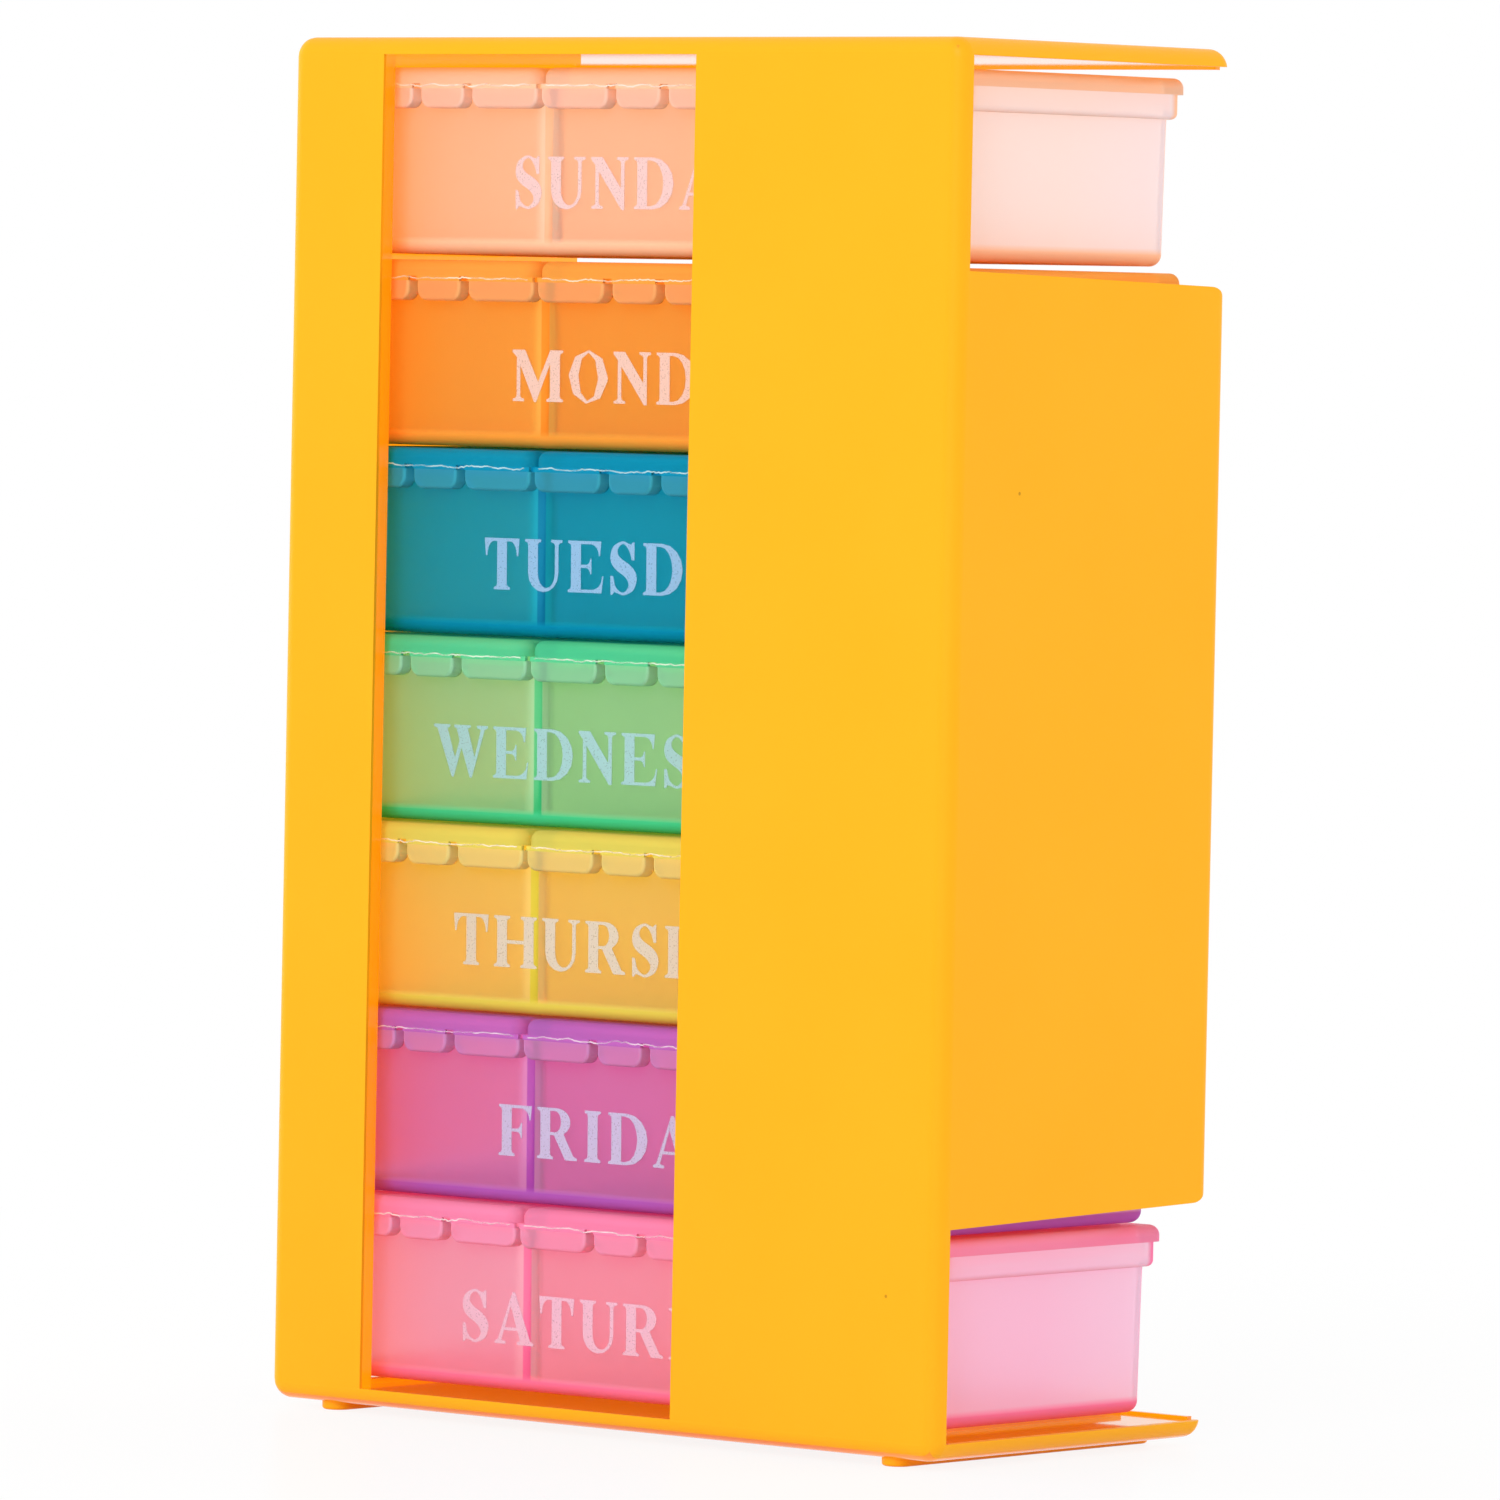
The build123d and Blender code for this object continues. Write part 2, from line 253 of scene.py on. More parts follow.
def moulded_abs(settings):
    """ABS from a spark-eroded mould: a satin skin whose fine grain breaks up its gloss.

    Inside the case the mould was polished, so its walls mirror the room at a low angle.
    """
    material = new_material("moulded_abs")
    place = add_node(material, "ShaderNodeTexCoord").outputs["Object"]
    # Grain of the mould, drawn a little coarser than the real one so that it shows
    grain = add_node(
        material,
        "ShaderNodeTexNoise",
        {"Vector": place, "Scale": 1 / settings.grain, "Detail": 2.0, "Roughness": 0.6},
    )
    # Broad and very faint changes of shade, where the melt flowed
    flow = add_node(
        material, "ShaderNodeTexNoise", {"Vector": place, "Scale": 1 / settings.flow, "Detail": 3.0}
    )
    shade = add_node(
        material,
        "ShaderNodeMix",
        {"Factor": flow.outputs["Fac"], 6: settings.colour, 7: settings.pale_colour},
        data_type="RGBA",
    )
    # Tiny dark specks in the plastic, a few on each wall
    speck = add_node(
        material, "ShaderNodeTexVoronoi", {"Vector": place, "Scale": 1 / settings.speck_spacing}
    )
    near = add_node(
        material,
        "ShaderNodeMapRange",
        {
            "Value": speck.outputs["Distance"],
            "From Min": SPECK_CORE,
            "From Max": SPECK_EDGE,
            "To Min": SPECK_DARKNESS,
            "To Max": 0.0,
        },
    )
    tint = add_node(
        material,
        "ShaderNodeMix",
        {"Factor": near.outputs[0], 6: shade.outputs[2], 7: linear(SPECK)},
        data_type="RGBA",
    )
    inside = inside_of_case(material, place)
    satin = add_node(
        material,
        "ShaderNodeMapRange",
        {
            "Value": grain.outputs["Fac"],
            "From Min": NOISE_LOW,
            "From Max": NOISE_HIGH,
            "To Min": CASE_SATIN[0],
            "To Max": CASE_SATIN[1],
        },
    )
    # The grain raises the outer faces, and the inner ones are flat
    relief = add_node(
        material, "ShaderNodeMix", {"Factor": inside.outputs[0], "A": grain.outputs["Fac"], "B": 0.5}
    )
    bump = add_node(
        material,
        "ShaderNodeBump",
        {"Height": relief.outputs[0], "Strength": GRAIN_STRENGTH, "Distance": settings.grain_depth},
    )
    skin = add_node(
        material,
        "ShaderNodeBsdfPrincipled",
        {
            "Base Color": tint.outputs[2],
            "Roughness": satin.outputs[0],
            "IOR": ABS_IOR,
            "Specular IOR Level": CASE_SPECULAR,
            "Normal": bump.outputs["Normal"],
        },
    )
    # Seen from inside, a wall glows with the light on its outside
    glow = add_node(material, "ShaderNodeBsdfTranslucent", {"Color": tint.outputs[2]})
    glow_share = add_node(
        material, "ShaderNodeMath", {0: inside.outputs[0], 1: settings.inner_glow}, operation="MULTIPLY"
    )
    lit = add_node(
        material,
        "ShaderNodeMixShader",
        {"Fac": glow_share.outputs[0], 1: skin.outputs[0], 2: glow.outputs[0]},
    )
    # Its polish mirrors the room at a low angle
    mirror = add_node(material, "ShaderNodeBsdfGlossy", {"Color": linear(WHITE), "Roughness": CASE_POLISH})
    angle = add_node(material, "ShaderNodeFresnel", {"IOR": ABS_IOR})
    mirror_share = add_node(
        material, "ShaderNodeMath", {0: inside.outputs[0], 1: angle.outputs[0]}, operation="MULTIPLY"
    )
    wall = add_node(
        material,
        "ShaderNodeMixShader",
        {"Fac": mirror_share.outputs[0], 1: lit.outputs[0], 2: mirror.outputs[0]},
    )
    # The walls let some light in, warm, so that the boxes aren't dark inside the tower
    side = add_node(material, "ShaderNodeNewGeometry")
    through = add_node(
        material,
        "ShaderNodeMapRange",
        {"Value": side.outputs["Backfacing"], "To Min": settings.shine_through, "To Max": 1.0},
    )
    share = add_node(
        material,
        "ShaderNodeMath",
        {0: through.outputs[0], 1: shadow_or_diffuse_ray(material).outputs[0]},
        operation="MULTIPLY",
    )
    film = add_node(material, "ShaderNodeBsdfTransparent", {"Color": linear(CASE_LIGHT)})
    mixed = add_node(
        material, "ShaderNodeMixShader", {"Fac": share.outputs[0], 1: wall.outputs[0], 2: film.outputs[0]}
    )
    add_node(material, "ShaderNodeOutputMaterial", {"Surface": mixed.outputs[0]})
    return material


def tray_parts(material, tray, place, normal):
    """Masks of the parts of a tray that differ in colour or get painted light, by name."""
    low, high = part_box(tray)
    sides = add_node(material, "ShaderNodeSeparateXYZ", {"Vector": place})
    off = add_node(material, "ShaderNodeMath", {0: sides.outputs["X"]}, operation="ABSOLUTE")
    from_partition = add_node(
        material, "ShaderNodeMath", {0: off.outputs[0], 1: COMPARTMENT_PITCH / 2}, operation="SUBTRACT"
    )
    distance = add_node(material, "ShaderNodeMath", {0: from_partition.outputs[0]}, operation="ABSOLUTE")
    # Each mask rises from 0 where its measure has the first value to 1 where it has the second
    rows = {
        # The ends, and how far back a point lies on them, carry painted light
        "end": (off.outputs[0], high.x - 3 * MM, high.x - 2 * MM),
        "rearwards": (sides.outputs["Y"], 0.0, high.y),
        "rear": (sides.outputs["Y"], high.y - 2.6 * MM, high.y - 1.8 * MM),
        "lug": (sides.outputs["Y"], low.y + LUG_STANDS_OUT - 0.1 * MM, low.y + LUG_STANDS_OUT - 0.4 * MM),
        "floor": (sides.outputs["Z"], low.z + TRAY_FLOOR + 0.8 * MM, low.z + TRAY_FLOOR),
        "partition": (distance.outputs[0], 0.74 * MM, 0.6 * MM),
        # Beside a partition, painted light fills in the shade
        "beside": (distance.outputs[0], 2.4 * MM, 1.3 * MM),
    }
    masks = {}
    for name, (measure, none, full) in rows.items():
        masks[name] = add_node(
            material, "ShaderNodeMapRange", {"Value": measure, "From Min": none, "From Max": full}
        ).outputs[0]
    corner = add_node(material, "ShaderNodeMath", {0: masks["rear"], 1: masks["end"]}, operation="MULTIPLY")
    masks["rim"] = add_node(
        material, "ShaderNodeMath", {0: masks["floor"], 1: corner.outputs[0]}, operation="MAXIMUM"
    ).outputs[0]
    # A lug's sideways faces, which get painted light
    faces = add_node(material, "ShaderNodeSeparateXYZ", {"Vector": normal})
    sideways = add_node(material, "ShaderNodeMath", {0: faces.outputs["X"]}, operation="ABSOLUTE")
    masks["lug_side"] = add_node(
        material, "ShaderNodeMath", {0: masks["lug"], 1: sideways.outputs[0]}, operation="MULTIPLY"
    ).outputs[0]
    return masks


def tray_milk(material, day, settings, place, normal):
    """Colour and share of what a tray's skin scatters: deeper where it is thick, with painted light that
    makes its ends paler and their far side cooler, fills the shade beside its partitions and lightens its
    lugs' sides.
    """
    edge, pale = (linear(tint) for tint in PLASTICS[day][2:4])
    plain = getattr(settings, day)
    masks = tray_parts(material, f"{day}_tray", place, normal)
    # Painted light: an end's colour turns cooler and paler towards the back, as if lit from behind
    painted_end_light = add_node(
        material,
        "ShaderNodeMix",
        {"Factor": masks["rearwards"], 6: pale, 7: blend(pale, linear(PAINTED_BACKLIGHT), PAINTED_BACKLIGHT_SHARE)},
        data_type="RGBA",
    )
    soft = blend(edge, pale, 0.5)
    deep = [level**PARTITION_DEPTH for level in edge]
    colour = plain
    share = settings.milk
    # Where two parts overlap, the later one covers the earlier
    for part, tint, milk in (
        # Painted light: more scatter beside a partition fills in its shade
        ("beside", plain, settings.painted_light_beside_partition),
        # Painted light: the ends are pale, as if lit through from the side
        ("end", painted_end_light.outputs[2], settings.painted_end_light_share),
        ("partition", deep, settings.lid_milk),
        ("rim", blend(edge, deep, 0.5), settings.rim_milk),
        ("lug", soft, settings.lug_milk),
        # Painted light: a lug's sideways faces scatter a pale colour that lightens their shade
        ("lug_side", soft, settings.rim_milk),
    ):
        colour = add_node(
            material, "ShaderNodeMix", {"Factor": masks[part], 6: colour, 7: tint}, data_type="RGBA"
        ).outputs[2]
        share = add_node(
            material, "ShaderNodeMix", {"Factor": masks[part], "A": share, "B": milk}
        ).outputs[0]
    return colour, share


def translucent_pp(day, settings, lid):
    """Polypropylene, dyed and milky: light goes through it blurred, and glows in it where it is thick."""
    material = new_material(f"{'thick' if lid else 'thin'}_pp_{day}")
    wall, dye, edge = (linear(tint) for tint in PLASTICS[day][:3])
    place = add_node(material, "ShaderNodeTexCoord").outputs["Object"]
    side = add_node(material, "ShaderNodeNewGeometry")
    # Slightly uneven haze, so that the blur isn't the same everywhere
    haze = add_node(
        material, "ShaderNodeTexNoise", {"Vector": place, "Scale": 1 / settings.haze, "Detail": 2.0}
    )
    blur = add_node(
        material,
        "ShaderNodeMapRange",
        {
            "Value": haze.outputs["Fac"],
            "From Min": NOISE_LOW,
            "From Max": NOISE_HIGH,
            "To Min": BOX_BLUR[0],
            "To Max": BOX_BLUR[1],
        },
    )
    # Light is blurred once, where it enters the wall
    once = add_node(
        material,
        "ShaderNodeMix",
        {"Factor": side.outputs["Backfacing"], "A": blur.outputs[0], "B": BOX_INNER_BLUR},
    )
    skin = add_node(
        material,
        "ShaderNodeBsdfPrincipled",
        {
            "Base Color": wall,
            "Roughness": once.outputs[0],
            "IOR": PP_IOR,
            "Specular Tint": BOX_SPECULAR_TINT,
            "Transmission Weight": 1.0,
        },
    )
    density = settings.density * (LID_DYE if lid else 1.0)
    body = add_node(material, "ShaderNodeVolumeAbsorption", {"Color": dye, "Density": density})
    if lid:
        colour, share = edge, settings.lid_milk
    else:
        colour, share = tray_milk(material, day, settings, place, side.outputs["Normal"])
    milk = add_node(material, "ShaderNodeBsdfDiffuse", {"Color": colour})
    scattered = add_node(
        material,
        "ShaderNodeMapRange",
        {"Value": side.outputs["Backfacing"], "To Min": share, "To Max": settings.inner_milk},
    )
    solid = add_node(
        material, "ShaderNodeMixShader", {"Fac": scattered.outputs[0], 1: skin.outputs[0], 2: milk.outputs[0]}
    )
    # Light on its way to the inside goes straight through the wall, in its tint
    film = add_node(material, "ShaderNodeBsdfTransparent", {"Color": wall})
    indirect = shadow_or_diffuse_ray(material)
    mixed = add_node(
        material, "ShaderNodeMixShader", {"Fac": indirect.outputs[0], 1: solid.outputs[0], 2: film.outputs[0]}
    )
    add_node(material, "ShaderNodeOutputMaterial", {"Surface": mixed.outputs[0], "Volume": body.outputs[0]})
    return material


def pad_print(day, settings):
    """Pale ink from a printing pad: matt, thin enough that the wall's colour shows, with fine pinholes."""
    material = new_material(f"pad_print_{day}")
    place = add_node(material, "ShaderNodeTexCoord").outputs["Object"]
    # Pinholes of a fifth of a millimetre, coarser than real ones so that they show
    pinholes = add_node(
        material, "ShaderNodeTexNoise", {"Vector": place, "Scale": 1 / settings.pinhole, "Detail": 1.0}
    )
    worn = add_node(
        material,
        "ShaderNodeMapRange",
        {
            "Value": pinholes.outputs["Fac"],
            "From Min": PINHOLE_NOISE[0],
            "From Max": PINHOLE_NOISE[1],
            "To Min": settings.see_through,
            "To Max": PINHOLE_OPEN,
        },
    )
    skin = add_node(
        material,
        "ShaderNodeBsdfPrincipled",
        {
            "Base Color": linear(PLASTICS[day][4]),
            "Roughness": INK_ROUGHNESS,
            "IOR": INK_IOR,
            "Specular IOR Level": DULL_SPECULAR,
        },
    )
    hole = add_node(material, "ShaderNodeBsdfTransparent")
    mixed = add_node(
        material, "ShaderNodeMixShader", {"Fac": worn.outputs[0], 1: skin.outputs[0], 2: hole.outputs[0]}
    )
    add_node(material, "ShaderNodeOutputMaterial", {"Surface": mixed.outputs[0]})
    return material


def stressed_pp(day, colour, settings):
    """Polypropylene whitened where it folds: a pale, dull, broken line beside the clear wall."""
    material = new_material(f"stressed_pp_{day}")
    place = add_node(material, "ShaderNodeTexCoord").outputs["Object"]
    strain = add_node(
        material, "ShaderNodeTexNoise", {"Vector": place, "Scale": 1 / settings.strain, "Detail": 2.0}
    )
    bare = add_node(
        material,
        "ShaderNodeMapRange",
        {
            "Value": strain.outputs["Fac"],
            "From Min": STRAIN_NOISE[0],
            "From Max": STRAIN_NOISE[1],
            "To Min": STRAIN_BARE[0],
            "To Max": STRAIN_BARE[1],
        },
    )
    skin = add_node(
        material,
        "ShaderNodeBsdfPrincipled",
        {
            "Base Color": blend(colour, linear(WHITE), 0.5),
            "Roughness": CREASE_ROUGHNESS,
            "IOR": WHITENED_PP_IOR,
            "Specular IOR Level": DULL_SPECULAR,
        },
    )
    clear = add_node(material, "ShaderNodeBsdfTransparent")
    mixed = add_node(
        material, "ShaderNodeMixShader", {"Fac": bare.outputs[0], 1: skin.outputs[0], 2: clear.outputs[0]}
    )
    add_node(material, "ShaderNodeOutputMaterial", {"Surface": mixed.outputs[0]})
    return material


def paint(name, description, hex_colour):
    """A colour setting with its default."""
    return bpy.props.FloatVectorProperty(
        name=name,
        description=description,
        default=linear(hex_colour),
        size=4,
        min=0.0,
        max=1.0,
        subtype="COLOR",
    )


def length(name, description, size, least=0.0):
    """A setting in metres with its default."""
    return bpy.props.FloatProperty(name=name, description=description, default=size, min=least, unit="LENGTH")


def part_of_one(name, description, part):
    """A setting from 0 to 1 with its default."""
    return bpy.props.FloatProperty(name=name, description=description, default=part, min=0.0, max=1.0)


def turned(name, description, degrees):
    """An angle setting with its default."""
    return bpy.props.FloatProperty(
        name=name, description=description, default=math.radians(degrees), subtype="ANGLE"
    )


def power(name, description, watts):
    """A lamp's power setting with its default."""
    return bpy.props.FloatProperty(name=name, description=description, default=watts, min=0.0, unit="POWER")


def dress(node, material):
    """Gives a node of the frame one material."""
    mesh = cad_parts[node].data
    mesh.materials.clear()
    mesh.materials.append(material)


# Letter outlines, where a capital is 100 high. Each function gives a letter's outlines and its width.
CAPITAL = 100
SERIF = 5
SERIF_REACH = 8
BRACKET = 7
ARC_STEPS = 8
SPAN_STEPS = 5

# Left and right side of the stem that several letters begin with
STEM = (8, 33)


def arc(x, y, across, up, start, end):
    """Points on an ellipse about x, y, from one angle to another in degrees."""
    turn = [math.radians(start + (end - start) * i / ARC_STEPS) for i in range(ARC_STEPS + 1)]
    return [(x + across * math.cos(t), y + up * math.sin(t)) for t in turn]


def foot(left, right):
    """Serif under a stroke, from its left side to its right."""
    level = SERIF + BRACKET
    return (
        arc(left - SERIF_REACH, level, SERIF_REACH, BRACKET, 0, -90)
        + [(left - SERIF_REACH, 0), (right + SERIF_REACH, 0)]
        + arc(right + SERIF_REACH, level, SERIF_REACH, BRACKET, -90, -180)
    )


def head(left, right):
    """Serif on top of a stroke, from its right side to its left."""
    return [(left + right - x, CAPITAL - y) for x, y in foot(left, right)]


def smooth(points):
    """A curve through given points: each span is split on the cubic through its four neighbours."""
    curve = []
    for i in range(1, len(points) - 2):
        before, start, end, after = (Vector(point) for point in points[i - 1 : i + 3])
        for step in range(SPAN_STEPS):
            t = step / SPAN_STEPS
            line = 2 * start + (end - before) * t
            bend = (2 * before - 5 * start + 4 * end - after) * t**2
            twist = (3 * start - before - 3 * end + after) * t**3
            curve.append(tuple(0.5 * (line + bend + twist)))
    return curve + [tuple(points[-2])]


def letter_i():
    return [foot(13, 38) + head(13, 38)], 51


def letter_t():
    arm = arc(66, 66, 17, 28, 90, 0)
    left_arm = [(90 - x, y) for x, y in reversed(arm)]
    outline = foot(32.5, 57.5) + [(57.5, 94)] + arm + [(87, 66), (90, 100), (0, 100), (3, 66)]
    outline += left_arm + [(32.5, 94)]
    return [outline], 90


def letter_e(bottom_arm=True):
    top = [(33, 94), (56, 94)] + arc(58, 72, 21, 22, 90, 0) + [(82, 72), (85, 100), (0, 100), (0, 95)]
    top += arc(0, 88, SERIF_REACH, BRACKET, 90, 0)
    tongue = [(33, 48)] + arc(46, 36, 11, 12, 90, 0) + [(60, 36), (60, 66)]
    tongue += arc(46, 66, 11, 12, 0, -90) + [(33, 54)]
    if bottom_arm:
        base = arc(0, 12, SERIF_REACH, BRACKET, 0, -90) + [(0, 0), (86, 0), (91, 33), (88, 33)]
        base += arc(60, 30, 27, 24, 0, -90) + [(33, 6)]
        return [base + tongue + top], 91
    return [foot(*STEM) + tongue + top], 85


def letter_f():
    return letter_e(bottom_arm=False)


def letter_h():
    right_foot = [(x + 69, y) for x, y in foot(*STEM)]
    right_head = [(x + 69, y) for x, y in head(*STEM)]
    outline = foot(*STEM) + [(33, 46), (77, 46)] + right_foot
    outline += right_head + [(77, 53), (33, 53)] + head(*STEM)
    return [outline], 110


def letter_n():
    outline = [(0, 95), (0, 100), (29, 100), (76, 40), (76, 88)] + arc(66, 88, 10, 7, 0, 90)
    outline += [(66, 100), (95, 100), (95, 95)] + arc(95, 88, 10, 7, 90, 180)
    outline += [(85, -2), (78, -2), (20, 72), (20, 12)] + arc(30, 12, 10, 7, 180, 270)
    outline += [(30, 0), (1, 0)] + arc(1, 12, 10, 7, -90, 0) + [(11, 84)]
    return [outline], 95


def letter_m():
    outline = [(0, 95), (0, 100), (32, 100), (66, 38), (97, 100), (130, 100), (130, 95)]
    outline += arc(130, 88, 8, 7, 90, 180) + [(122, 12)] + arc(130, 12, 8, 7, 180, 270) + [(130, 0), (88, 0)]
    outline += arc(88, 12, 9, 7, -90, 0) + [(97, 74), (61, -1), (56, -1), (20, 70), (20, 12)]
    outline += arc(30, 12, 10, 7, 180, 270) + [(30, 0), (1, 0)] + arc(1, 12, 10, 7, -90, 0) + [(11, 86)]
    return [outline], 130


def letter_w():
    outline = [(0, 95), (0, 100), (42, 100), (42, 95), (35, 93), (55, 36), (67, 70)]
    outline += [(59, 93), (53, 95), (53, 100), (95, 100), (95, 95), (88, 93), (106, 38), (122, 92), (112, 95)]
    outline += [(112, 100), (140, 100), (140, 95), (132, 92), (99, -2), (94, -2), (72, 56)]
    outline += [(52, -2), (47, -2), (9, 92)]
    return [outline], 140


def letter_a():
    outline = [(0, 0), (0, 5), (8, 8), (45, 102), (52, 102), (92, 8), (100, 5), (100, 0)]
    outline += [(58, 0), (58, 5), (66, 8), (59, 27), (24, 27), (17, 8), (28, 5), (28, 0)]
    return [outline, [(26.5, 33), (56.5, 33), (41, 75)]], 100


def letter_y():
    outline = foot(38, 63) + [(63, 42), (89, 92), (98, 95), (98, 100), (66, 100), (66, 95)]
    outline += [(78, 91), (56, 49), (34, 92), (43, 95), (43, 100), (0, 100), (0, 95), (8, 92), (38, 40)]
    return [outline], 98


def letter_u():
    outline = [(8, 34)] + arc(47, 35, 39, 37, 180, 360) + [(86, 88)] + arc(96, 88, 10, 7, 180, 90)
    outline += [(96, 100), (67, 100)] + arc(67, 88, 10, 7, 90, 0) + [(77, 35)]
    outline += arc(55, 35, 22, 29, 0, -180) + [(33, 88)] + head(*STEM)
    return [outline], 96


def letter_d():
    outline = arc(0, 12, SERIF_REACH, BRACKET, 0, -90) + [(0, 0)] + arc(47, 50, 53, 50, -90, 90)
    outline += [(0, 100)] + arc(0, 88, SERIF_REACH, BRACKET, 90, 0)
    return [outline, [(33, 6)] + arc(43, 50, 31, 44, -90, 90) + [(33, 94)]], 100


def letter_o():
    # The curve stops short of a full turn, and its last point joins the first
    last = 352
    return [arc(50, 50, 50, 52, 0, last), arc(50, 50, 25, 47, 0, last)], 100


def letter_r():
    outline = foot(*STEM) + [(33, 47), (43, 47), (72, 0), (102, 0), (102, 5), (93, 8), (68, 49)]
    outline += arc(50, 73.5, 35, 26.5, -58, 90) + [(0, 100)] + arc(0, 88, SERIF_REACH, BRACKET, 90, 0)
    return [outline, [(33, 53)] + arc(46, 73.5, 15, 20.5, -90, 90) + [(33, 94)]], 102


def letter_s():
    inner = [(52, 66), (57, 66), (50, 85), (36, 97), (23, 89), (22, 77), (33, 67)]
    inner += [(52, 57), (66, 44), (70, 28)]
    outer = [(61, 8), (38, -2), (23, 1), (13, 4), (8, -2)]
    back = [(6, 34), (10, 34), (17, 13), (34, 3), (47, 11), (49, 23), (38, 35), (20, 45), (7, 57), (3, 73)]
    rim = [(11, 92), (33, 102), (46, 99), (55, 96), (61, 101)]
    # Each curve ends in a beak with a flat side
    outline = smooth(inner + outer[:4]) + outer[3:] + [(4, -2), (3, 35)]
    outline += smooth(back + rim[:4]) + rim[3:] + [(64, 101), (64, 66)]
    return [outline], 72


LETTERS = {
    "a": letter_a,
    "d": letter_d,
    "e": letter_e,
    "f": letter_f,
    "h": letter_h,
    "i": letter_i,
    "m": letter_m,
    "n": letter_n,
    "o": letter_o,
    "r": letter_r,
    "s": letter_s,
    "t": letter_t,
    "u": letter_u,
    "w": letter_w,
    "y": letter_y,
}


def letter_mesh(outlines, scale, half_thickness):
    """A flat curve with the letter's outlines, filled, given its thickness and made a mesh."""
    curve = bpy.data.curves.new("letter", "CURVE")
    curve.dimensions = "2D"
    curve.fill_mode = "BOTH"
    curve.extrude = half_thickness
    for outline in outlines:
        spline = curve.splines.new("POLY")
        spline.points.add(len(outline) - 1)
        for point, (x, y) in zip(spline.points, outline):
            point.co = (x * scale, y * scale, 0.0, 1.0)
        spline.use_cyclic_u = True
    piece = bpy.data.objects.new("letter", curve)
    mesh = bpy.data.meshes.new_from_object(piece)
    bpy.data.objects.remove(piece)
    bpy.data.curves.remove(curve)
    return mesh


def new_piece(name, bm, material, body):
    """Puts a finished bmesh in the scene as a piece that rides on a body."""
    mesh = bpy.data.meshes.new(name)
    bm.to_mesh(mesh)
    bm.free()
    mesh.materials.append(material)
    piece = bpy.data.objects.new(name, mesh)
    bpy.context.scene.collection.objects.link(piece)
    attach(piece, body)
    return piece


class PillCaseSettings(bpy.types.PropertyGroup):
    """Finish of the tower case."""

    colour: paint("Colour", "Colour of the case", "#FFB014")
    pale_colour: paint("Pale colour", "Colour of the case where the melt flowed thin", "#FFB51C")
    grain: length("Grain", "Size of the mould's grain", 0.3 * MM, least=0.05 * MM)
    grain_depth: length("Grain depth", "Depth of the mould's grain", 0.03 * MM)
    flow: length("Flow marks", "Size of the faint shade changes", 25 * MM, least=1 * MM)
    speck_spacing: length("Speck spacing", "Distance between dark specks", 15 * MM, least=1 * MM)
    inner_glow: part_of_one("Inner glow", "Share of an inner wall's light from outside", 0.8)
    shine_through: part_of_one("Shine through", "Share of the light that a wall lets in", 0.4)


class PillBoxSettings(bpy.types.PropertyGroup):
    """Finish of the day boxes."""

    sunday: paint("Sunday", "Milky colour of Sunday's box", "#FFDEC0")
    monday: paint("Monday", "Milky colour of Monday's box", "#FFC054")
    tuesday: paint("Tuesday", "Milky colour of Tuesday's box", "#08B6CC")
    wednesday: paint("Wednesday", "Milky colour of Wednesday's box", "#B4E6AC")
    thursday: paint("Thursday", "Milky colour of Thursday's box", "#FFDC80")
    friday: paint("Friday", "Milky colour of Friday's box", "#DE98D2")
    saturday: paint("Saturday", "Milky colour of Saturday's box", "#FFBECC")
    milk: part_of_one("Milk", "Share of the light that a tray's wall scatters", 0.3)
    lid_milk: part_of_one("Lid milk", "Share that lids and partitions scatter", 0.66)
    # Painted light: how strongly the pale end colour shows on a box's ends
    painted_end_light_share: part_of_one("End milk", "Share that a box's ends scatter", 0.75)
    # Painted light: more scatter beside a partition, which fills in the shade there
    painted_light_beside_partition: part_of_one("Partition milk", "Share scattered beside a partition", 0.48)
    # On the lugs' sideways faces this share is painted light that lightens their shade
    rim_milk: part_of_one("Rim milk", "Share that floors, corners and the lugs' sides scatter", 0.88)
    lug_milk: part_of_one("Lug milk", "Share that the fronts of the hinge lugs scatter", 0.46)
    inner_milk: part_of_one("Inner milk", "Share that is scattered on the way out of a wall", 0.15)
    density: bpy.props.FloatProperty(
        name="Density", description="How fast the dye deepens with thickness", default=400.0, min=0.0
    )
    haze: length("Haze", "Size of the cloudy patches", 6 * MM, least=1 * MM)


class PillPrintSettings(bpy.types.PropertyGroup):
    """Day names on the trays."""

    cap_height: length("Capitals", "Height of the capitals", 6.5 * MM, least=1 * MM)
    baseline: length("Baseline", "Height of the words over the tray's underside", 5.9 * MM)
    spacing: length("Spacing", "Gap between letters", 0.95 * MM)
    see_through: part_of_one("See-through", "Share of the wall's colour that shows", 0.16)
    pinhole: length("Pinholes", "Size of the pinholes", 0.22 * MM, least=0.05 * MM)
    thickness: length("Ink", "Thickness of the print", 0.06 * MM, least=0.01 * MM)


class PillHingeSettings(bpy.types.PropertyGroup):
    """Whitened crease of the living hinges."""

    crease: length("Crease", "Width of the whitened fold", 0.17 * MM, least=0.05 * MM)
    wander: length("Wander", "How far the fold strays up and down", 0.3 * MM)
    strain: length("Strain", "Length of the paler and clearer stretches", 2.5 * MM, least=0.1 * MM)


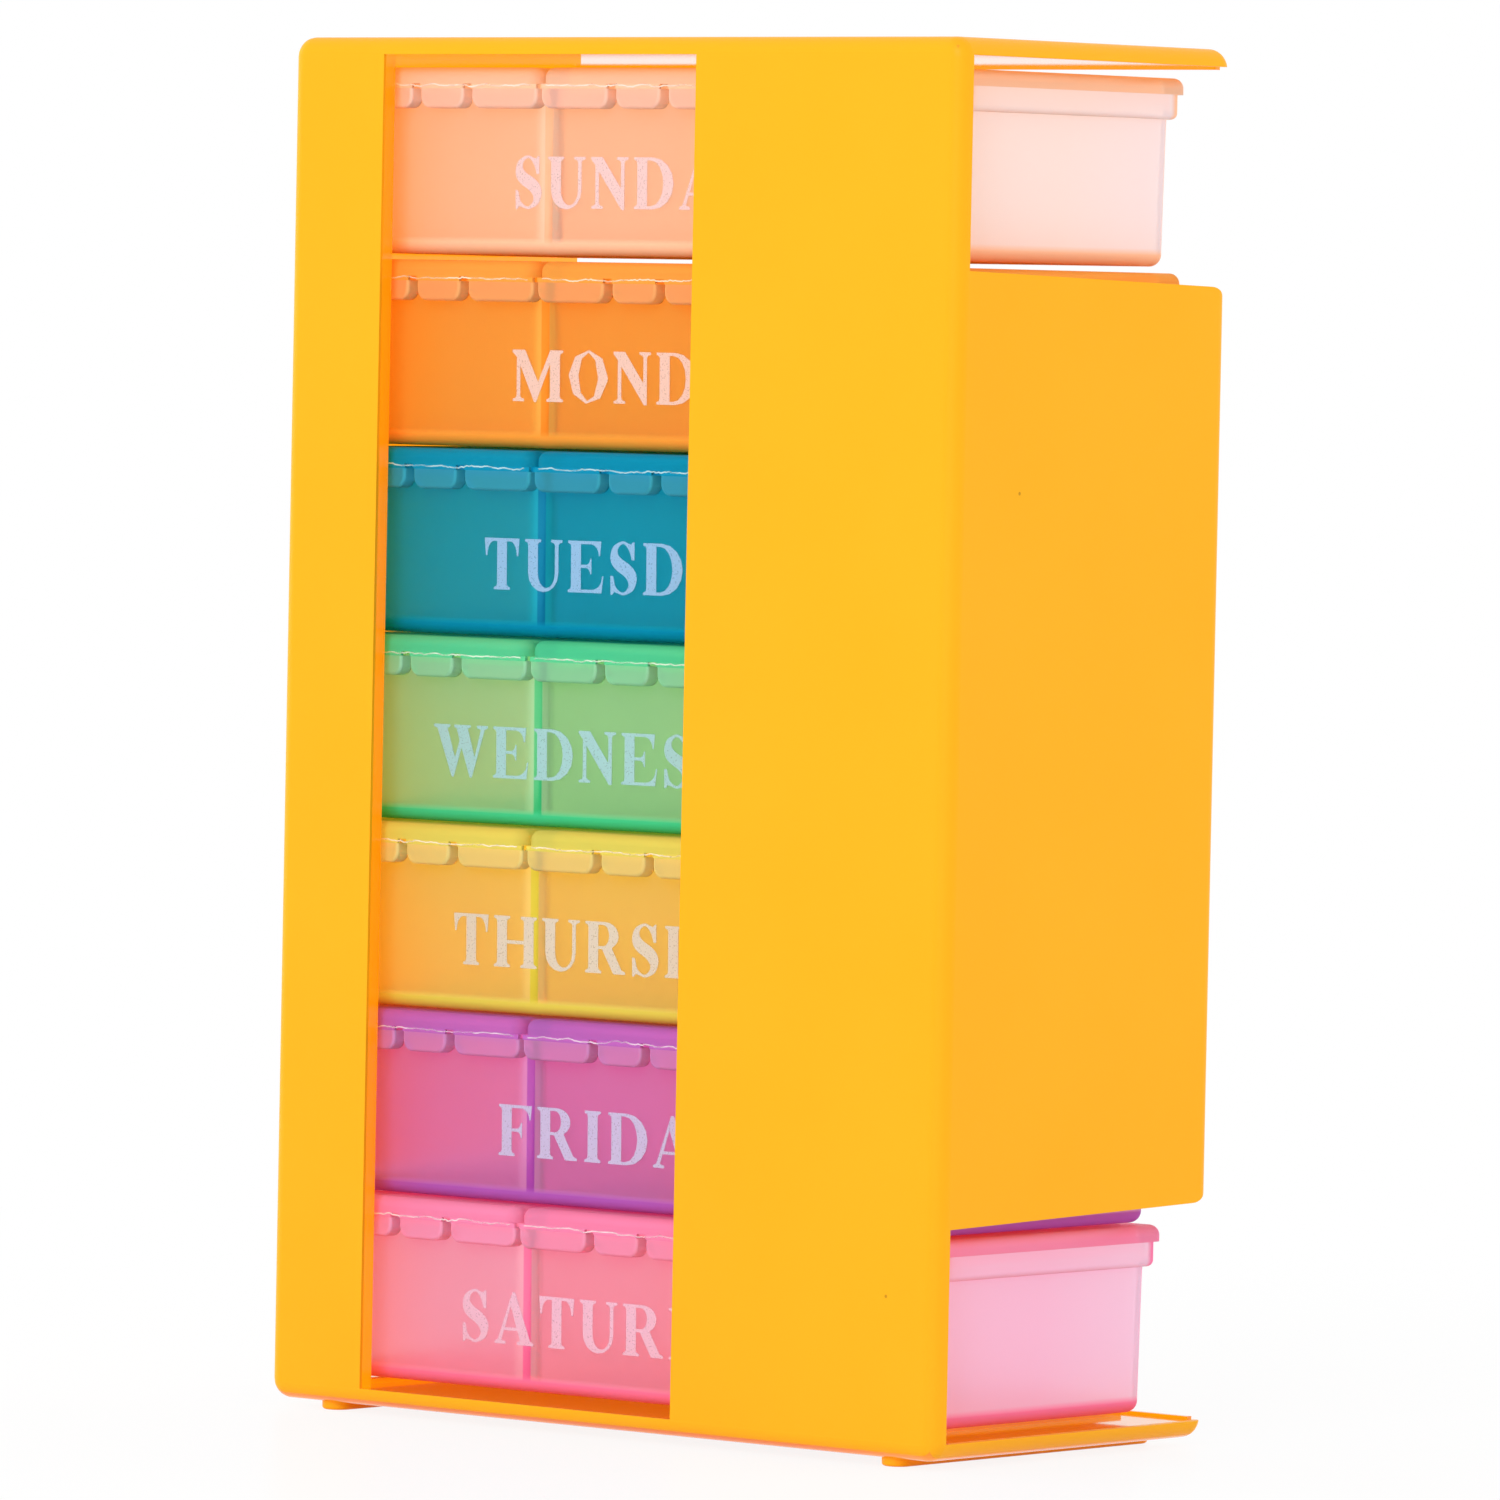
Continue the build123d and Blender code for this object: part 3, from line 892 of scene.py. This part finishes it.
class PillStageSettings(bpy.types.PropertyGroup):
    """Camera, lights and floor."""

    distance: length("Distance", "From the case's middle to the camera", 1.4647)
    bearing: turned("Bearing", "To the right of the window's normal", 40.162)
    elevation: turned("Elevation", "Above the horizon", 2.0895)
    roll: turned("Roll", "Turn about the line of sight", 1.1308)
    lens: bpy.props.FloatProperty(name="Lens", description="Focal length in millimetres", default=277.95)
    aim_right: length("Aim right", "Camera's step to the right", 1.544 * MM, least=-1.0)
    aim_up: length("Aim up", "Camera's step upwards", -2.315 * MM, least=-1.0)
    floor_colour: paint("Floor", "Colour of the floor", "#F7F7F7")
    room_light: bpy.props.FloatProperty(
        name="Room light", description="Light of the white room on the object", default=0.7, min=0.0
    )
    key_light: power("Key lamp", "Power of the lamp at the front", 7.4)
    rim_light: power("Rim lamp", "Power of the lamp behind, on the right", 7.0)
    left_light: power("Left lamp", "Power of the lamp on the left", 8.5)


class OBJECT_OT_pill_case(bpy.types.Operator):
    """Gives the tower case its satin yellow finish"""

    bl_idname = "object.pill_case"
    bl_label = "Case"

    def execute(self, context):
        dress("case", moulded_abs(context.scene.pill_case))
        return {"FINISHED"}


class OBJECT_OT_pill_boxes(bpy.types.Operator):
    """Gives the trays and lids their translucent plastic"""

    bl_idname = "object.pill_boxes"
    bl_label = "Day boxes"

    def execute(self, context):
        settings = context.scene.pill_boxes
        for day in DAYS:
            tray = translucent_pp(day, settings, lid=False)
            lid = translucent_pp(day, settings, lid=True)
            dress(f"{day}_tray", tray)
            dress(f"{day}_hinge_webs", lid)
            for place in PLACES:
                dress(f"{day}_lid_{place}", lid)
        return {"FINISHED"}


class OBJECT_OT_pill_names(bpy.types.Operator):
    """Prints the name of its day on the front wall of each tray"""

    bl_idname = "object.pill_names"
    bl_label = "Day names"

    def execute(self, context):
        settings = context.scene.pill_print
        scale = settings.cap_height / CAPITAL
        for day in DAYS:
            low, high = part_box(f"{day}_tray")
            left = (low.x + high.x) / 2 - WORD_STARTS[day] * MM
            bm = bmesh.new()
            for letter in day:
                outlines, width = LETTERS[letter]()
                mesh = letter_mesh(outlines, scale, settings.thickness / 2)
                mesh.transform(Matrix.Translation((left, 0.0, 0.0)))
                bm.from_mesh(mesh)
                bpy.data.meshes.remove(mesh)
                left += width * scale + settings.spacing
            bmesh.ops.remove_doubles(bm, verts=bm.verts, dist=SAME_POINT)
            bmesh.ops.recalc_face_normals(bm, faces=bm.faces)
            # The word stands against the wall, which leans with the draft of the mould
            drop = high.z - COLLAR_HEIGHT - low.z - settings.baseline
            wall = low.y + LUG_STANDS_OUT + drop * math.tan(TRAY_DRAFT)
            stand = Matrix.Rotation(math.radians(90) + TRAY_DRAFT, 4, "X")
            bm.transform(Matrix.Translation((0.0, wall, low.z + settings.baseline)) @ stand)
            new_piece(f"{day}_name", bm, pad_print(day, settings), f"{day}_box")
        return {"FINISHED"}


class OBJECT_OT_pill_hinges(bpy.types.Operator):
    """Draws the whitened, ragged crease on the webs of the living hinges"""

    bl_idname = "object.pill_hinges"
    bl_label = "Living hinges"

    def execute(self, context):
        settings = context.scene.pill_hinges
        for row, day in enumerate(DAYS):
            tray_low, tray_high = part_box(f"{day}_tray")
            bm = bmesh.new()
            for place in PLACES:
                low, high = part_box(f"{day}_lid_{place}")
                span = (low.x + CREASE_INSET, high.x - CREASE_INSET)
                self.add_crease(bm, span, tray_low.y, tray_high.z, row, settings)
            pale = stressed_pp(day, getattr(context.scene.pill_boxes, day), settings)
            new_piece(f"{day}_hinge_crease", bm, pale, f"{day}_box")
        return {"FINISHED"}

    def add_crease(self, bm, span, front, rim, row, settings):
        """A thin strip along one lid, which strays up and down as the wall folded."""
        left, right = span
        steps = int((right - left) / CREASE_STEP)
        made = bmesh.ops.create_grid(bm, x_segments=steps, y_segments=1, size=0.5)
        for vert in made["verts"]:
            x = left + (vert.co.x + 0.5) * (right - left)
            wave = noise.noise(Vector((x / CREASE_WAVE, row * WAVE_SHIFT, 0.0)))
            ripple = noise.noise(Vector((x / CREASE_RIPPLE, row * RIPPLE_SHIFT, RIPPLE_LEVEL)))
            stray = wave + 0.5 * ripple
            z = rim - WEB_HEIGHT / 3 + settings.wander * stray + settings.crease * vert.co.y
            vert.co = Vector((x, front - CREASE_STANDS_OUT, z))
        faces = [face for face in bm.faces if all(vert in made["verts"] for vert in face.verts)]
        grown = bmesh.ops.extrude_face_region(bm, geom=faces)
        bmesh.ops.translate(
            bm,
            verts=[item for item in grown["geom"] if isinstance(item, bmesh.types.BMVert)],
            vec=(0.0, WEB_THICKNESS / 2, 0.0),
        )
        bmesh.ops.recalc_face_normals(bm, faces=bm.faces)


class OBJECT_OT_pill_stage(bpy.types.Operator):
    """Sets up the camera, the lights and the pale floor"""

    bl_idname = "object.pill_stage"
    bl_label = "Stage"

    def execute(self, context):
        self.add_camera(context)
        self.add_floor(context)
        self.add_lights(context)
        return {"FINISHED"}

    def add_camera(self, context):
        stage = context.scene.pill_stage
        turn = (
            Matrix.Rotation(stage.bearing, 3, "Z")
            @ Matrix.Rotation(math.radians(90) - stage.elevation, 3, "X")
            @ Matrix.Rotation(stage.roll, 3, "Z")
        )
        place = Vector(CAMERA_AIM) + turn @ Vector((stage.aim_right, stage.aim_up, stage.distance))
        camera = bpy.data.objects.new("camera", bpy.data.cameras.new("camera"))
        camera.data.lens = stage.lens
        camera.data.sensor_width = SENSOR_WIDTH
        camera.data.clip_end = CAMERA_REACH
        camera.matrix_world = Matrix.Translation(place) @ turn.to_4x4()
        context.scene.collection.objects.link(camera)
        context.scene.camera = camera

    def add_floor(self, context):
        bm = bmesh.new()
        bmesh.ops.create_circle(bm, cap_ends=True, segments=96, radius=FLOOR_RADIUS)
        mesh = bpy.data.meshes.new("floor")
        bm.to_mesh(mesh)
        bm.free()
        floor = bpy.data.objects.new("floor", mesh)
        context.scene.collection.objects.link(floor)
        mesh.materials.append(self.painted_board(context.scene.pill_stage))

    def painted_board(self, stage):
        """Satin white board: plain white to the eye, and it keeps a soft shadow near the case."""
        material = new_material("painted_board")
        place = add_node(material, "ShaderNodeTexCoord").outputs["Object"]
        far = add_node(material, "ShaderNodeVectorMath", {0: place}, operation="LENGTH")
        fade = add_node(
            material,
            "ShaderNodeMapRange",
            {
                "Value": far.outputs["Value"],
                "From Min": SHADOW_FULL,
                "From Max": SHADOW_GONE,
                "To Min": FLOOR_WHITE,
                "To Max": 1.0,
            },
            interpolation_type="SMOOTHSTEP",
        )
        board = add_node(
            material,
            "ShaderNodeBsdfPrincipled",
            {"Base Color": stage.floor_colour, "Roughness": FLOOR_ROUGHNESS},
        )
        light = add_node(material, "ShaderNodeEmission", {"Color": linear(WHITE), "Strength": 1.0})
        share = add_node(
            material,
            "ShaderNodeMath",
            {0: fade.outputs[0], 1: self.direct_ray(material)},
            operation="MULTIPLY",
        )
        mixed = add_node(
            material,
            "ShaderNodeMixShader",
            {"Fac": share.outputs[0], 1: board.outputs[0], 2: light.outputs[0]},
        )
        add_node(material, "ShaderNodeOutputMaterial", {"Surface": mixed.outputs[0]})
        return material

    def direct_ray(self, owner):
        """1 for what the camera sees, also in gloss and clear plastic, and 0 for light on the object."""
        seen = add_node(owner, "ShaderNodeLightPath")
        direct = seen.outputs["Is Camera Ray"]
        for name in ("Is Glossy Ray", "Is Transmission Ray"):
            direct = add_node(
                owner, "ShaderNodeMath", {0: direct, 1: seen.outputs[name]}, operation="MAXIMUM"
            ).outputs[0]
        return direct

    def add_lights(self, context):
        stage = context.scene.pill_stage
        world = bpy.data.worlds.new("white_room")
        world.use_nodes = True
        world.node_tree.nodes.clear()
        level = add_node(
            world,
            "ShaderNodeMapRange",
            {"Value": self.direct_ray(world), "To Min": stage.room_light, "To Max": 1.0},
        )
        background = add_node(
            world, "ShaderNodeBackground", {"Color": linear(WHITE), "Strength": level.outputs[0]}
        )
        add_node(world, "ShaderNodeOutputWorld", {"Surface": background.outputs[0]})
        context.scene.world = world
        for name, (place, size) in LAMPS.items():
            lamp = bpy.data.lights.new(name, "AREA")
            lamp.energy = getattr(stage, f"{name}_light")
            lamp.size = size
            holder = bpy.data.objects.new(name, lamp)
            holder.visible_camera = False
            holder.visible_transmission = False
            holder.visible_glossy = name == "key"
            aim = Vector(LAMP_AIM) - Vector(place)
            turn = aim.to_track_quat("-Z", "Y").to_matrix().to_4x4()
            holder.matrix_world = Matrix.Translation(place) @ turn
            context.scene.collection.objects.link(holder)
        context.scene.view_settings.view_transform = "Standard"


class VIEW3D_PT_pill_organizer(bpy.types.Panel):
    """Lists the pieces of the organizer in the sidebar"""

    bl_label = "Pill Organizer"
    bl_space_type = "VIEW_3D"
    bl_region_type = "UI"
    bl_category = "Pill Organizer"

    def draw(self, context):
        for operator in OPERATORS:
            self.layout.operator(operator.bl_idname)


OPERATORS = (
    OBJECT_OT_pill_case,
    OBJECT_OT_pill_boxes,
    OBJECT_OT_pill_names,
    OBJECT_OT_pill_hinges,
    OBJECT_OT_pill_stage,
)
SETTINGS = {
    "pill_case": PillCaseSettings,
    "pill_boxes": PillBoxSettings,
    "pill_print": PillPrintSettings,
    "pill_hinges": PillHingeSettings,
    "pill_stage": PillStageSettings,
}


def register():
    for cls in (*SETTINGS.values(), *OPERATORS, VIEW3D_PT_pill_organizer):
        bpy.utils.register_class(cls)
    for name, group in SETTINGS.items():
        setattr(bpy.types.Scene, name, bpy.props.PointerProperty(type=group))


def unregister():
    for name in SETTINGS:
        delattr(bpy.types.Scene, name)
    for cls in reversed((*SETTINGS.values(), *OPERATORS, VIEW3D_PT_pill_organizer)):
        bpy.utils.unregister_class(cls)


def main():
    register()
    bpy.ops.object.pill_case()
    bpy.ops.object.pill_boxes()
    bpy.ops.object.pill_names()
    bpy.ops.object.pill_hinges()
    bpy.ops.object.pill_stage()


if __name__ == "__main__":
    main()
